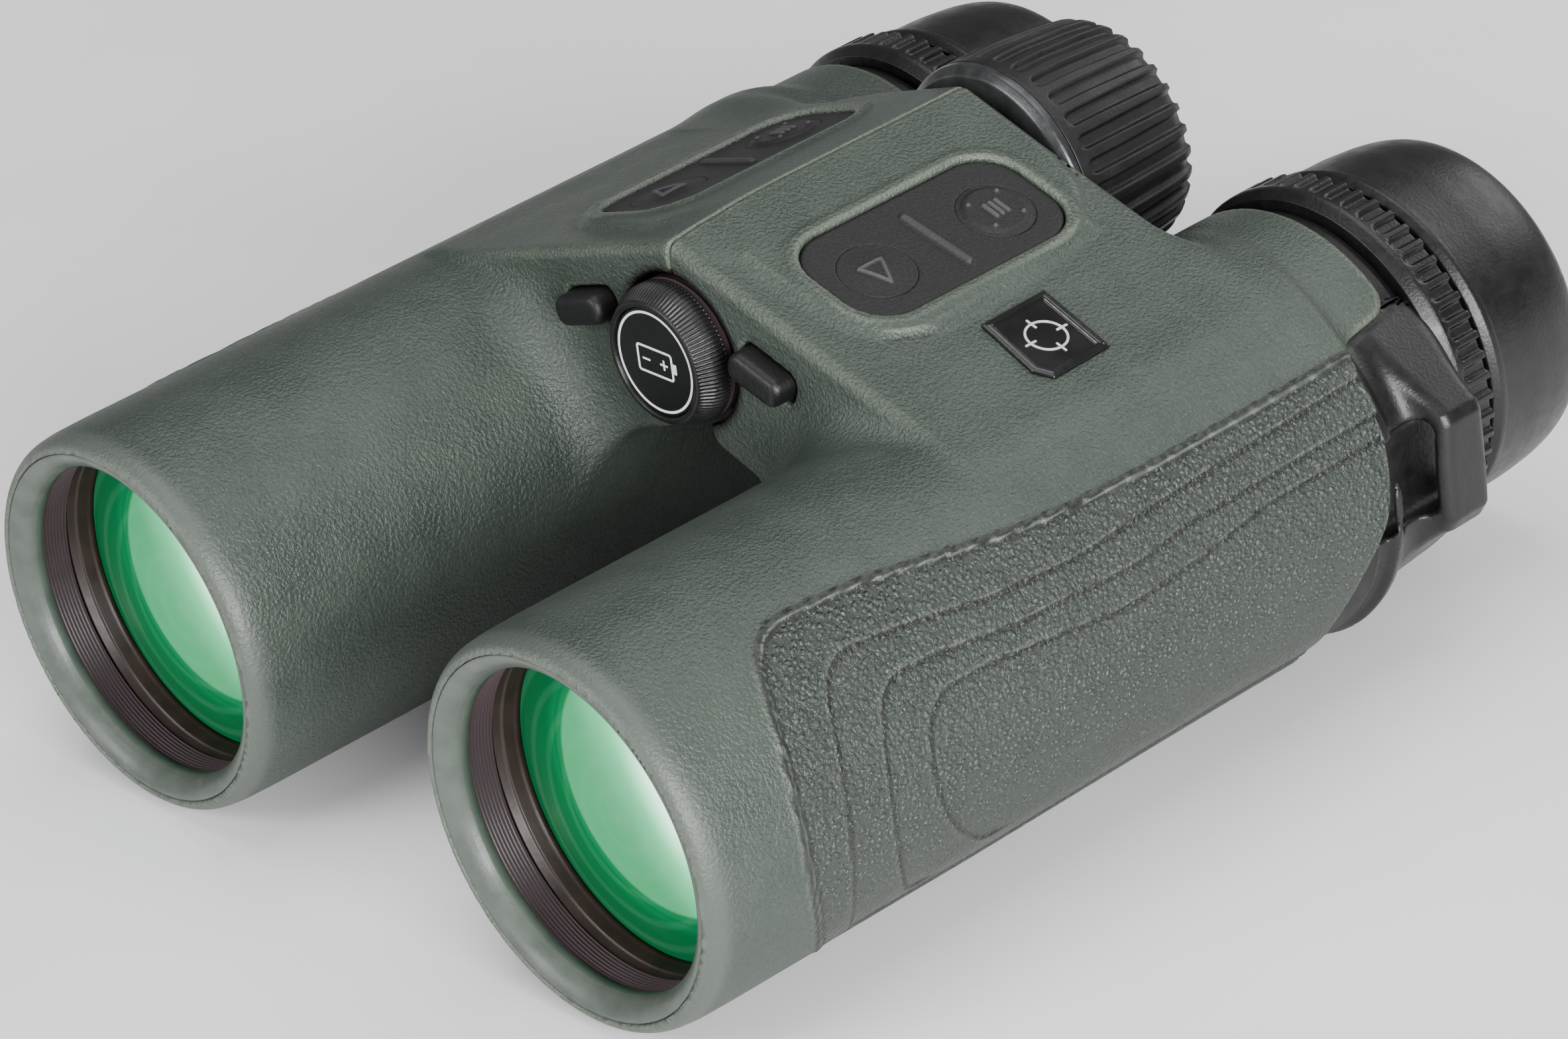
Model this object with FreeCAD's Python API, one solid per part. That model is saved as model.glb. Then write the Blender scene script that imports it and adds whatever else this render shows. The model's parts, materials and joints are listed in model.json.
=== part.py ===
"""Rangefinding binocular, 10 x 42 class, as an assembly of separate pieces.

Drawing frame: +Y runs from the objectives to the eyepieces and +Z is up. x is measured from the
hinge, y from the inner lip of the objective rims and z from the objective axes. save() moves each
piece so that the origin is the middle of the underside of the whole object. Units: millimetres.
Most pieces are drawn for the right barrel, and pair() also writes the mirrored left one.
"""
import FreeCAD, Part
import math
import os

from FreeCAD import Vector

# Overall sizes
FRONT = -2.0            # front edge of the rubber rims
REAR = 153.5            # back edge of the eyecups, turned down
BARREL_X = 41.3         # half of the distance between the objective axes
EYE_X = 37.67           # half of the distance between the eyepiece axes
EYE_Z = 3.45            # eyepiece axes above the objective axes
HINGE_Z = 25.5          # hinge axis above the objective axes
BARREL_R = 25.4         # rubber armour, outside
GRIP_R = 25.1           # rubber armour in the grip area, behind the plain rim band
RIM_REAR = 12.0         # back edge of the rim band
LIP_R = 23.4            # inside of the armour at the front edge
LENS_R = 21.0           # clear radius of the 42 mm objective
BORE_R = 22.6           # inside of the metal barrels
TUBE_R = 23.9           # outside of the metal barrels
SKIN = 1.6              # armour thickness on the bridge
GAP = 0.05              # skin to metal

# Bridge between the barrels
BRIDGE_FRONT = 57.0
BRIDGE_REAR = 109.0
RIDGE_Z = 40.6          # top of the roof at the seam
ROOF_TILT = 17.5        # slope of each roof half, degrees
FOLD_EDGE = 19.5        # each half keeps this far from straight down, degrees

# Hinge line
KNUCKLE_R = 11.9
KNUCKLE_CLEAR = 12.2
TUBE_HINGE_R = 9.3      # battery tube that is also the hinge pin
BATTERY_R = 7.7
RUN = 0.05              # radial running clearance
LEFT_KNUCKLES = ((61.0, 68.0), (80.0, 89.0))
RIGHT_KNUCKLES = ((68.3, 79.7),)
BUSH_R = 6.5
SCREW_R = 4.0

# Eyepieces
COLLAR_R = 22.1
NECK_R = 21.0
CORE_R = 15.0
SLEEVE_R = 23.4
SLEEVE_REAR = 123.0
ARMOUR_REAR = 112.6
EYECUP_FRONT = 134.4

# Keypads on the roof: distance down the slope from the ridge, and y
PAD = (10.6, 28.3, 65.7, 100.8)
PAD_CORNER = 6.0
BUTTON_R = 5.0
BUTTONS = {"front": (20.0, 73.4), "rear": (20.2, 93.1)}

AXIS_Y = Vector(0, 1, 0)


def save(name, shape):
    """Write one piece, moved to the object's own origin."""
    moved = shape.copy()
    moved.translate(Vector(0, -(FRONT + REAR) / 2, BARREL_R))
    moved.exportStep("parts/" + name + ".step")


def mirrored(shape):
    return shape.mirror(Vector(0, 0, 0), Vector(1, 0, 0))


def pair(name, shape):
    """Write a right-hand piece and its mirror image."""
    save(name + "_right", shape)
    save(name + "_left", mirrored(shape))


def rod(x, z, radius, y0, y1):
    return Part.makeCylinder(radius, y1 - y0, Vector(x, y0, z), AXIS_Y)


def tube(x, z, outer, inner, y0, y1):
    return rod(x, z, outer, y0, y1).cut(rod(x, z, inner, y0, y1))


def turned(x, z, outline):
    """Solid of revolution about an axis along Y; the outline is (radius, y) points."""
    points = [Vector(x + radius, y, z) for radius, y in outline]
    face = Part.Face(Part.makePolygon(points + points[:1]))
    return face.revolve(Vector(x, 0, z), AXIS_Y, 360)


def extruded(points, y0, y1):
    """Solid with an (x, z) outline, from y0 to y1."""
    corners = [Vector(x, y0, z) for x, z in points]
    face = Part.Face(Part.makePolygon(corners + corners[:1]))
    return face.extrude(Vector(0, y1 - y0, 0))


def lens(x, z, radius, y0, y1, front_sag, back_sag):
    """Lens with spherical faces; y0 and y1 are at its edge, and a sag is positive when it bulges."""
    def face_edge(y, sag):
        middle = Vector(x + radius / 2, y + 0.75 * sag, z)
        return Part.Arc(Vector(x, y + sag, z), middle, Vector(x + radius, y, z)).toShape()

    front = face_edge(y0, -front_sag)
    back = face_edge(y1, back_sag)
    rim = Part.makeLine(Vector(x + radius, y0, z), Vector(x + radius, y1, z))
    axis = Part.makeLine(Vector(x, y1 + back_sag, z), Vector(x, y0 - front_sag, z))
    face = Part.Face(Part.Wire(Part.__sortEdges__([front, rim, back, axis])))
    return face.revolve(Vector(x, 0, z), AXIS_Y, 360)


def on_roof(shape):
    """Place a shape drawn flat at z = 0, with x down the slope, on the right roof half."""
    placed = shape.copy()
    placed.rotate(Vector(0, 0, 0), AXIS_Y, ROOF_TILT)
    placed.translate(Vector(0, 0, RIDGE_Z))
    return placed


def roof_plate(box, corner, top, bottom):
    """Rounded plate under the roof surface; top and bottom are heights above it."""
    s0, s1, y0, y1 = box
    plate = Part.makeBox(s1 - s0, y1 - y0, top - bottom, Vector(s0, y0, bottom))
    upright = [e for e in plate.Edges if abs(e.tangentAt(e.FirstParameter).z) > 0.9]
    return on_roof(plate.makeFillet(corner, upright))


def roof_disc(centre, radius, top, bottom):
    return on_roof(Part.makeCylinder(radius, top - bottom, Vector(centre[0], centre[1], bottom)))


def bridge(inset, seam, y0, y1):
    """Right half of the bridge block: roof, outer shoulder, lower web and the fold clearance."""
    slope = math.tan(math.radians(ROOF_TILT))
    top = RIDGE_Z - inset / math.cos(math.radians(ROOF_TILT))
    edge = math.radians(FOLD_EDGE)
    reach = KNUCKLE_R + 1.3 - 0.8 * inset
    shoulder = 51.0 - inset
    points = [
        (seam, top - slope * seam),
        (shoulder, top - slope * shoulder),
        (58.3 - inset, 18.8 - inset),
        (BARREL_X, 0.0),
        (17.6 + inset, 8.4 + inset / 2),
        (reach * math.sin(edge), HINGE_Z - reach * math.cos(edge)),
        (seam, HINGE_Z),
    ]
    return extruded(points, y0, y1)


def sleeve(inner, outer, y0, y1, spare=0.0):
    """Part of a ring round the eyepiece axis: its top and inner side, up to the strap lug."""
    ring = tube(EYE_X, EYE_Z, outer, inner, y0, y1)
    first = math.radians(48.0 + spare)
    last = math.radians(-150.0 - spare)
    steps = 8
    wedge = [(EYE_X, EYE_Z)]
    for i in range(steps + 1):
        angle = first + (last - first) * i / steps
        wedge.append((EYE_X + 60 * math.sin(angle), EYE_Z + 60 * math.cos(angle)))
    return ring.common(extruded(wedge, y0, y1))


# Housing pieces

def chassis(knuckles, bush_knuckle, bush_bore):
    """Metal half body, drawn for the right side: barrel tube, bridge block and hinge knuckles."""
    block_front = BRIDGE_FRONT + SKIN + GAP
    block_rear = BRIDGE_REAR - SKIN - GAP
    body = bridge(SKIN + GAP, 0.3, block_front, block_rear)
    body = body.fuse(rod(BARREL_X, 0, TUBE_R, 3.0, 108.0))
    body = body.cut(rod(0, HINGE_Z, KNUCKLE_CLEAR, 50, 115))
    for y0, y1 in knuckles + (bush_knuckle,):
        ring = rod(0, HINGE_Z, KNUCKLE_R, y0, y1)
        web = bridge(SKIN + GAP, 0.3, y0, y1).common(rod(0, HINGE_Z, KNUCKLE_CLEAR + 1, y0, y1))
        body = body.fuse(ring).fuse(web)
    for y0, y1 in knuckles:
        body = body.cut(rod(0, HINGE_Z, TUBE_HINGE_R + RUN, y0, y1))
    body = body.cut(rod(0, HINGE_Z, bush_bore, bush_knuckle[0], bush_knuckle[1]))
    body = body.cut(rod(BARREL_X, 0, BORE_R, 0, 104.0))
    body = body.cut(rod(EYE_X, EYE_Z, 18.05, 103, 109))
    pocket = (PAD[0] - 0.1, PAD[1] + 0.1, PAD[2] - 0.1, PAD[3] + 0.1)
    body = body.cut(roof_plate(pocket, PAD_CORNER, 1.0, -3.6))
    body = body.cut(roof_plate((16.0, 30.0, 64.0, 102.0), 2.0, -4.4, -8.0))
    body = body.cut(Part.makeCylinder(1.5, 16, Vector(22, 70, 10)))
    return body.cut(arm_bar(4.6, 92.2, 101.4, 10.0)).removeSplitter()


def armour():
    """Rubber skin over barrel, bridge and the top of the eyepiece collar."""
    barrel = turned(BARREL_X, 0, [
        (LIP_R, FRONT + 0.2), (LIP_R + 0.3, FRONT), (24.5, -1.5), (25.2, -0.3),
        (BARREL_R, 1.4), (BARREL_R, RIM_REAR), (GRIP_R, RIM_REAR + 0.3), (GRIP_R, 103.7),
        (BARREL_R, 104.0), (BARREL_R, ARMOUR_REAR - 0.8), (24.8, ARMOUR_REAR),
        (TUBE_R + GAP, ARMOUR_REAR), (TUBE_R + GAP, 2.9), (LIP_R, 2.9)])
    skin = bridge(0, 0.15, BRIDGE_FRONT, BRIDGE_REAR).cut(rod(BARREL_X, 0, TUBE_R + GAP, 50, 115))
    skin = barrel.fuse(skin).fuse(sleeve(COLLAR_R + GAP, SLEEVE_R, 106.0, SLEEVE_REAR))
    inner_front = BRIDGE_FRONT + SKIN
    inner_rear = BRIDGE_REAR - SKIN
    skin = skin.cut(rod(BARREL_X, 0, TUBE_R + GAP, 2.9, 108.05))
    skin = skin.cut(bridge(SKIN, -1.0, inner_front, inner_rear))
    skin = skin.cut(rod(0, HINGE_Z, KNUCKLE_CLEAR, inner_front, inner_rear))
    skin = skin.cut(rod(0, HINGE_Z, 10.05, 50, 115))
    skin = skin.cut(rod(EYE_X, EYE_Z, COLLAR_R + GAP, 107.9, 125))
    skin = skin.cut(roof_plate(PAD, PAD_CORNER, 3.0, -3.0))
    skin = skin.cut(arm_bar(4.6, 92.2, 101.4, 10.0))
    return skin.cut(peg()).removeSplitter()


def rim_lip():
    """Funnel-shaped ring inside the front edge of the armour."""
    return turned(BARREL_X, 0, [
        (20.7, 0.4), (20.9, -0.9), (21.9, -1.6), (23.1, FRONT + 0.2), (LIP_R - GAP, FRONT + 0.4),
        (LIP_R - GAP, 2.9), (BORE_R, 2.9), (BORE_R, 1.3), (20.9, 1.3)])


def peg():
    """Rubber bumper on the front of the bridge, beside the battery cap."""
    block = Part.makeBox(9.0, 4.6, 4.2, Vector(-4.5, 54.0, -2.1))
    block = block.makeFillet(1.5, [e for e in block.Edges if abs(e.tangentAt(0).y) > 0.9])
    block.rotate(Vector(0, 0, 0), AXIS_Y, ROOF_TILT)
    block.translate(Vector(16.0, 0, 27.0))
    return block


def rear_cover():
    """Black moulding behind the armour on the outer side, with the strap slot."""
    start = ARMOUR_REAR + 0.1
    body = turned(BARREL_X, 0, [
        (0, 108.3), (23.6, 108.3), (23.6, start), (24.7, start), (20.6, 126.0), (0, 126.0)])
    lug = Part.makeBox(18.0, 7.0, 16.0, Vector(49.3, 118.6, -6.0))
    lug = lug.makeFillet(2.4, [e for e in lug.Edges
                               if e.CenterOfMass.x > 60 and abs(e.tangentAt(0).y) > 0.9])
    slot = Part.makeBox(4.4, 20.0, 12.0, Vector(60.3, 110.0, -4.0))
    slot = slot.makeFillet(1.6, [e for e in slot.Edges if abs(e.tangentAt(0).y) > 0.9])
    body = body.fuse(lug).cut(slot)
    body = body.cut(rod(EYE_X, EYE_Z, COLLAR_R + GAP, 100, 130))
    body = body.cut(sleeve(COLLAR_R - 1, SLEEVE_R + GAP, 100, SLEEVE_REAR + GAP, 0.3))
    return max(body.Solids, key=lambda s: s.Volume)


def badge():
    """Blank name plate on the right roof half, a square with one cut corner."""
    corners = [(34.5, 76.8), (34.5, 87.4), (46.6, 86.8), (46.8, 77.6), (44.6, 76.0)]
    points = [Vector(s, y, -1.0) for s, y in corners]
    return on_roof(Part.Face(Part.makePolygon(points + points[:1])).extrude(Vector(0, 0, 1.3)))


# Optics

def objective_ring():
    """Ribbed baffle ring just inside the rim."""
    outline = [(BORE_R - GAP, 1.35), (21.2, 1.35)]
    ribs = 9
    for i in range(ribs):
        outline += [(21.5, 1.55 + 0.5 * i), (21.2, 1.8 + 0.5 * i)]
    return turned(BARREL_X, 0, outline + [(21.5, 6.2), (BORE_R - GAP, 6.2)])


def objective_retainer():
    """Threaded ring that holds the objective, with a conical face."""
    return turned(BARREL_X, 0, [(BORE_R - GAP, 6.4), (21.9, 6.4), (LENS_R, 8.5), (BORE_R - GAP, 8.5)])


def prism_pair():
    """Two glass blocks of the roof prism, with a thin air gap between them."""
    def block(outline):
        points = [Vector(BARREL_X - 12.4, y, z) for y, z in outline]
        return Part.Face(Part.makePolygon(points + points[:1])).extrude(Vector(24.8, 0, 0))

    front = block([(62.0, -12.0), (73.0, -12.0), (86.5, 10.0), (82.0, 13.4), (62.0, 13.4)])
    back = block([(73.6, -12.0), (92.0, -12.0), (92.0, 3.0), (87.2, 9.4)])
    return Part.Compound([front, back])


def arm_bar(width, y0, y1, reach_in):
    """Flat bar from the focus nut to the rod in the barrel; its length runs across the web."""
    dx, dz = BARREL_X - 19.2, 4.4 - HINGE_Z
    length = math.hypot(dx, dz)
    bar = Part.makeBox(length - reach_in + width / 2, y1 - y0, width, Vector(reach_in, y0, -width / 2))
    bar.rotate(Vector(0, 0, 0), AXIS_Y, math.degrees(math.atan2(-dz, dx)))
    bar.translate(Vector(0, 0, HINGE_Z))
    return bar


def focus_arm():
    push_rod = rod(BARREL_X - 19.2, 4.4, 1.5, 50.0, 97.9)
    return push_rod.fuse(arm_bar(3.6, 95.7, 97.9, 5.1)).removeSplitter()


def eyepiece_housing():
    return turned(EYE_X, EYE_Z, [
        (16.2, 104.2), (18.0, 104.2), (18.0, 108.3), (COLLAR_R, 108.3), (COLLAR_R, 125.6),
        (NECK_R, 126.3), (NECK_R, 133.8), (CORE_R, 133.8), (CORE_R, 145.0), (11.8, 145.0),
        (11.8, 143.5), (12.7, 143.5), (12.7, 133.0), (16.2, 129.5)])


def ocular_lenses():
    """Field lens and eye lens."""
    field = lens(EYE_X, EYE_Z, 16.1, 109.0, 112.0, 1.0, 2.0)
    eye = lens(EYE_X, EYE_Z, 12.6, 138.5, 141.8, 2.0, 1.2)
    return Part.Compound([field, eye])


def diopter_ring():
    """Ring with short teeth behind a plain chamfered band."""
    ring = turned(EYE_X, EYE_Z, [
        (NECK_R + RUN, 126.7), (23.2, 126.7), (24.1, 128.0), (24.1, 133.2), (NECK_R + RUN, 133.2)])
    teeth = 56
    cuts = []
    for i in range(teeth):
        cut = rod(EYE_X + 24.4, EYE_Z, 0.85, 129.2, 133.4)
        cut.rotate(Vector(EYE_X, 0, EYE_Z), AXIS_Y, 360.0 * i / teeth)
        cuts.append(cut)
    return ring.cut(cuts)


def eyecup():
    return turned(EYE_X, EYE_Z, [
        (18.0, EYECUP_FRONT), (22.3, EYECUP_FRONT), (23.3, 135.8), (23.15, 143.0), (22.85, 147.5),
        (22.4, 150.8), (21.6, 152.7), (20.4, REAR), (19.2, 153.0), (18.2, 151.0), (17.0, 147.6),
        (15.6, 146.6), (15.6, 144.0), (18.0, 144.0)])


# Keypads

def keypad():
    """Rubber pad with a raised divider and an opening for each button."""
    pad = roof_plate(PAD, PAD_CORNER, -0.2, -2.2)
    divider = roof_plate((14.5, 25.3, 82.6, 84.1), 0.7, 0.3, -1.0)
    pad = pad.fuse(divider)
    for centre in BUTTONS.values():
        pad = pad.cut(roof_disc(centre, BUTTON_R + 0.15, 2.0, -4.0))
    return pad.removeSplitter()


def dome_board():
    """Circuit board with one snap dome under each button."""
    board = roof_plate((12.6, 26.2, 67.6, 99.0), 3.0, -2.7, -3.5)
    for centre in BUTTONS.values():
        board = board.fuse(roof_disc(centre, 2.0, -2.45, -2.8))
    return board


def circuit_board():
    """Measuring electronics under the roof: board and three chips."""
    board = roof_plate((17.0, 29.0, 66.0, 100.0), 1.0, -5.9, -6.9)
    for y in (71.0, 82.0, 93.0):
        board = board.fuse(roof_plate((19.5, 26.0, y, y + 5.0), 0.3, -4.9, -6.0))
    return board


# Hinge line

def hinge_tube():
    return turned(0, HINGE_Z, [
        (BATTERY_R + 0.25, 57.3), (TUBE_HINGE_R, 57.3), (TUBE_HINGE_R, 89.5), (1.0, 89.5),
        (1.0, 87.5), (BATTERY_R + 0.25, 87.5)])


def battery():
    """CR2 cell with its raised terminal towards the eyepieces."""
    return turned(0, HINGE_Z, [
        (0, 59.0), (BATTERY_R, 59.0), (BATTERY_R, 85.2), (3.2, 85.2), (3.2, 86.0), (0, 86.0)])


def battery_contact():
    return turned(0, HINGE_Z, [(0, 86.2), (1.5, 86.2), (5.0, 87.0), (6.5, 87.0), (6.5, 87.4), (0, 87.4)])


def battery_cap():
    cap = turned(0, HINGE_Z, [
        (0, 52.9), (7.2, 52.9), (7.4, 52.4), (8.0, 52.5), (9.2, 54.4), (9.4, 55.4), (9.4, 56.7),
        (7.6, 56.7), (7.6, 58.7), (0, 58.7)])
    return cap.cut(Part.makeTorus(7.35, 0.5, Vector(0, 57.9, HINGE_Z), AXIS_Y))


def focus_core():
    """Metal wheel body with the smooth shoulder in front of the rubber grip."""
    return turned(0, HINGE_Z, [
        (SCREW_R, 109.4), (15.4, 109.4), (16.3, 110.2), (16.4, 111.2), (13.0, 111.2), (13.0, 130.9),
        (12.2, 131.9), (0, 132.6), (0, 130.6), (11.4, 130.6), (11.4, 112.8), (7.0, 112.8),
        (7.0, 118.0), (SCREW_R, 118.0)])


def focus_grip():
    """Rubber tyre of the focus wheel with long grooves along its length."""
    grip = turned(0, HINGE_Z, [
        (13.02, 111.25), (16.5, 111.25), (16.5, 118.0), (16.1, 123.0), (15.7, 127.0),
        (15.2, 129.8), (14.2, 131.4), (13.02, 131.6)])
    grooves = 31
    cuts = []
    for i in range(grooves):
        cut = rod(17.3, HINGE_Z, 1.1, 113.5, 140.0)
        cut = cut.fuse(Part.makeSphere(1.1, Vector(17.3, 113.5, HINGE_Z)))
        cut.rotate(Vector(0, 0, HINGE_Z), AXIS_Y, 360.0 * i / grooves)
        cuts.append(cut)
    return grip.cut(cuts)


def focus_nut():
    """Grooved nut that carries both focusing arms along the hinge line."""
    return turned(0, HINGE_Z, [
        (SCREW_R + RUN, 94.3), (6.6, 94.3), (6.6, 95.5), (4.8, 95.5), (4.8, 98.1), (6.6, 98.1),
        (6.6, 99.3), (SCREW_R + RUN, 99.3)])


def build():
    os.makedirs("parts", exist_ok=True)
    right = chassis(RIGHT_KNUCKLES, (103.2, 105.3), BUSH_R + RUN)
    save("chassis_right", right)
    left = chassis(LEFT_KNUCKLES, (105.6, 107.3), BUSH_R)
    save("chassis_left", mirrored(left))
    skin = armour()
    save("armour_left", mirrored(skin))
    save("armour_right", skin.cut(badge()))
    save("name_plate", badge())
    pair("rim_lip", rim_lip())
    pair("front_bumper", peg())
    pair("strap_lug", rear_cover())

    pair("objective_baffle", objective_ring())
    pair("objective_retainer", objective_retainer())
    pair("objective_lens", lens(BARREL_X, 0, 22.4, 9.0, 14.0, 2.6, 0.8))
    pair("focus_cell", tube(BARREL_X, 0, BORE_R - 0.1, 17.5, 44.0, 50.0))
    pair("focus_lens", lens(BARREL_X, 0, 17.45, 45.5, 47.5, -0.7, 1.2))
    pair("focus_arm", focus_arm())
    pair("roof_prism", prism_pair())
    pair("eyepiece_housing", eyepiece_housing())
    pair("ocular_lenses", ocular_lenses())
    pair("diopter_ring", diopter_ring())
    pair("eyecup_guide", tube(EYE_X, EYE_Z, 17.7, CORE_R + RUN, 134.7, 143.6))
    pair("eyecup", eyecup())

    save("laser_emitter", rod(BARREL_X - 15.6, 9.5, 2.8, 76.0, 91.0))
    save("laser_receiver", rod(-BARREL_X + 15.6, 9.5, 2.8, 76.0, 91.0))
    save("display_unit", Part.makeBox(10, 4.5, 5.5, Vector(-BARREL_X - 5, 97.5, 14.5)))

    pair("keypad", keypad())
    pair("dome_board", dome_board())
    pair("circuit_board", circuit_board())
    for place, centre in BUTTONS.items():
        pair(place + "_button", roof_disc(centre, BUTTON_R, 0.4, -1.7))

    save("hinge_tube", hinge_tube())
    save("battery", battery())
    save("battery_contact", battery_contact())
    save("battery_cap", battery_cap())
    save("cap_disc", rod(0, HINGE_Z, 7.1, 52.3, 52.9))
    save("cap_seal", Part.makeTorus(7.35, 0.48, Vector(0, 57.9, HINGE_Z), AXIS_Y))
    save("focus_bush", tube(0, HINGE_Z, BUSH_R, SCREW_R + RUN, 103.2, 109.1))
    save("focus_screw", rod(0, HINGE_Z, SCREW_R, 90.2, 118.0))
    save("focus_nut", focus_nut())
    save("focus_wheel", focus_core())
    save("focus_grip", focus_grip())


build()
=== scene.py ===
"""Looks of the rangefinding binocular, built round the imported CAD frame.

Shapes are drawn in millimetres in the same drawing frame as the CAD source: x from the hinge,
y from the inner lip of the objectives, z from the objective axes. place() moves them into the row
frame. Soft moulded pieces are level sets turned into meshes; round pieces are lathed.
"""
import json
import math
from collections import namedtuple

import bmesh
import bpy
import numpy as np
from mathutils import Matrix, Vector


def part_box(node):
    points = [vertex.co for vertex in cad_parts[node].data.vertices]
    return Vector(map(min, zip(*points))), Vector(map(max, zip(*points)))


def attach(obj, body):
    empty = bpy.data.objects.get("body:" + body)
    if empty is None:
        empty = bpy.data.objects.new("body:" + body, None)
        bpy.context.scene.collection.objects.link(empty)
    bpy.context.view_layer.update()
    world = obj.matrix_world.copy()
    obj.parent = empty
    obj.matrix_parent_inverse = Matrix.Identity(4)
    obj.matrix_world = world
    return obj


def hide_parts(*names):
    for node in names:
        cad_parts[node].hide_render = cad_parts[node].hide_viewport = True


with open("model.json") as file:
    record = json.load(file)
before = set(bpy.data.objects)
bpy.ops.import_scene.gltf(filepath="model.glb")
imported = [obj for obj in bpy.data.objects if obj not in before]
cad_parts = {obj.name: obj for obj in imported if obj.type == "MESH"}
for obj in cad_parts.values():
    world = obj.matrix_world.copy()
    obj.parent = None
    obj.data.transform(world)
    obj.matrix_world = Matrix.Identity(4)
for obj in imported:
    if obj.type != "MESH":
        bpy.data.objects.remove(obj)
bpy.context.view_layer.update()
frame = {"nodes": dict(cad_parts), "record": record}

ROW_SHIFT = (0.0, -75.75, 25.4)        # from the drawing frame to the row frame
BARREL_X = 41.3
EYE_X, EYE_Z = 37.67, 3.45
HINGE_Z = 25.5
RIDGE_Z = 41.0
TILT = math.radians(17.5)
COS, SIN = math.cos(TILT), math.sin(TILT)
SIDES = (("right", 1), ("left", -1))
PAD = (19.45, 83.25, 8.8, 17.5)        # centre and half sizes, down the slope and along y
PAD_CORNER = 6.0
BUTTON_R = 5.0
BUTTONS = {"front": (20.0, 73.4), "rear": (20.2, 93.1)}


# Numbers and level sets

def ramp(x, a, b):
    """Smooth step from 0 at a to 1 at b."""
    t = np.clip((x - a) / (b - a), 0.0, 1.0)
    return t * t * (3 - 2 * t)


def smax(a, b, k):
    """Maximum with a blend of width k."""
    h = np.maximum(k - np.abs(a - b), 0.0) / k
    return np.maximum(a, b) + h * h * k / 4


def smin(a, b, k):
    """Minimum with a blend of width k."""
    return -smax(-a, -b, k)


def curve(points, blur=2.0):
    """Smoothed line through (position, value) points, as a function."""
    xs, ys = np.array(points, float).T
    grid = np.linspace(xs[0] - 4 * blur, xs[-1] + 4 * blur, 800)
    step = grid[1] - grid[0]
    reach = max(int(2 * blur / step), 1)
    kernel = np.exp(-0.5 * (np.arange(-reach, reach + 1) * step / blur * 1.6) ** 2)
    values = np.pad(np.interp(grid, xs, ys), reach, mode="edge")
    smooth = np.convolve(values, kernel / kernel.sum(), mode="valid")
    return lambda t: np.interp(t, grid, smooth)


def polygon(u, v, corners):
    """Signed distance to a polygon, negative inside."""
    pts = np.array(corners, float)
    best = np.full(np.shape(u), 1e9)
    inside = np.zeros(np.shape(u), bool)
    for (ax, ay), (bx, by) in zip(pts, np.roll(pts, -1, axis=0)):
        ex, ey = bx - ax, by - ay
        wx, wy = u - ax, v - ay
        t = np.clip((wx * ex + wy * ey) / (ex * ex + ey * ey), 0, 1)
        best = np.minimum(best, (wx - t * ex) ** 2 + (wy - t * ey) ** 2)
        if ey:
            inside ^= ((ay > v) != (by > v)) & (u < ex * (v - ay) / ey + ax)
    return np.where(inside, -1, 1) * np.sqrt(best)


def rounded_box(u, v, half_u, half_v, corner):
    qu, qv = np.abs(u) - half_u + corner, np.abs(v) - half_v + corner
    return np.hypot(np.maximum(qu, 0), np.maximum(qv, 0)) + np.minimum(np.maximum(qu, qv), 0) - corner


def slope_xyz(s, y, h):
    """Point at distance s down the roof slope and height h above it."""
    return s * COS + h * SIN, y, RIDGE_Z - s * SIN + h * COS


def surface_net(field, low, high, step):
    """Quad mesh of field = 0 inside a box; field is negative inside the shape."""
    axes = [np.arange(a, b + step, step) for a, b in zip(low, high)]
    value = field(*np.meshgrid(*axes, indexing="ij", sparse=False)).astype(np.float32)
    inside = value < 0
    cells = tuple(n - 1 for n in value.shape)
    total = np.zeros(cells + (3,), np.float32)
    count = np.zeros(cells, np.float32)
    crossings = []
    for axis in range(3):
        a = [slice(None)] * 3
        b = [slice(None)] * 3
        a[axis], b[axis] = slice(None, -1), slice(1, None)
        cross = inside[tuple(a)] != inside[tuple(b)]
        index = np.argwhere(cross)
        va, vb = value[tuple(a)][cross], value[tuple(b)][cross]
        point = index.astype(np.float32)
        point[:, axis] += va / (va - vb)
        crossings.append((index, va < 0))
        others = [i for i in range(3) if i != axis]
        for da in (0, 1):
            for db in (0, 1):
                cell = index.copy()
                cell[:, others[0]] -= da
                cell[:, others[1]] -= db
                good = np.all((cell >= 0) & (cell < cells), axis=1)
                where = tuple(cell[good].T)
                np.add.at(total, where, point[good])
                np.add.at(count, where, 1)
    used = count > 0
    number = np.full(cells, -1, np.int64)
    number[used] = np.arange(used.sum())
    points = np.array(low) + step * (total[used] / count[used][:, None]).astype(float)
    quads = []
    for axis, (index, outward) in enumerate(crossings):
        u, v = [(1, 2), (2, 0), (0, 1)][axis]
        good = (index[:, u] > 0) & (index[:, v] > 0) & (index[:, u] < cells[u]) & (index[:, v] < cells[v])
        index, outward = index[good], outward[good]
        ring = []
        for du, dv in ((1, 1), (0, 1), (0, 0), (1, 0)):
            cell = index.copy()
            cell[:, u] -= du
            cell[:, v] -= dv
            ring.append(number[tuple(cell.T)])
        quad = np.stack(ring, 1)
        quad[~outward] = quad[~outward][:, ::-1]
        quads.append(quad)
    quads = np.concatenate(quads)
    quads = quads[np.all(quads >= 0, axis=1)]
    for _ in range(3):
        g, f = gradient(field, points)
        length = np.maximum((g * g).sum(1), 0.05)
        move = -g * (f / length)[:, None]
        reach = np.maximum(np.linalg.norm(move, axis=1), 1e-9)
        points = points + move * np.minimum(1, 0.45 * step / reach)[:, None]
    return points, quads


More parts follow.
